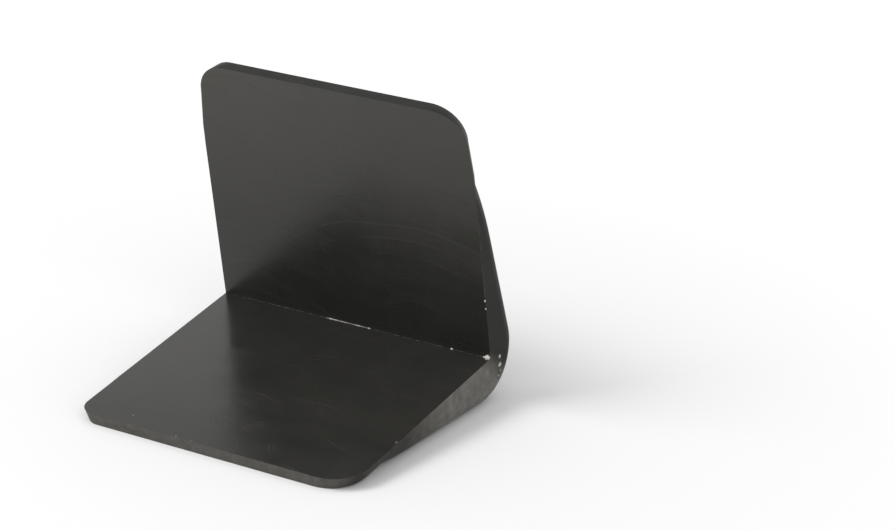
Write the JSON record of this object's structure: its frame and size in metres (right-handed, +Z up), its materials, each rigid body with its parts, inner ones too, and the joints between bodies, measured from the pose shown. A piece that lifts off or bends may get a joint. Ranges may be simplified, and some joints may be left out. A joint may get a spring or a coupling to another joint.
{
  "type": "edge protector",
  "caption": "Moulded plastic edge protector: an L of two flat legs for a load's corner, with side ribs and a rounded seat that guide a lashing strap.",
  "frame": {"origin": "on the ground under the middle of the part's box, as it rests", "axes": "+X along the fold, +Y out of the back of the standing leg, away from the lying leg's tip, +Z up"},
  "size_m": [0.128, 0.117, 0.1239],
  "materials": {
    "plastic": "smooth with a low sheen inside, finely grained outside"
  },
  "bodies": {
    "root": {"edge_protector": "plastic"}
  },
  "joints": []
}
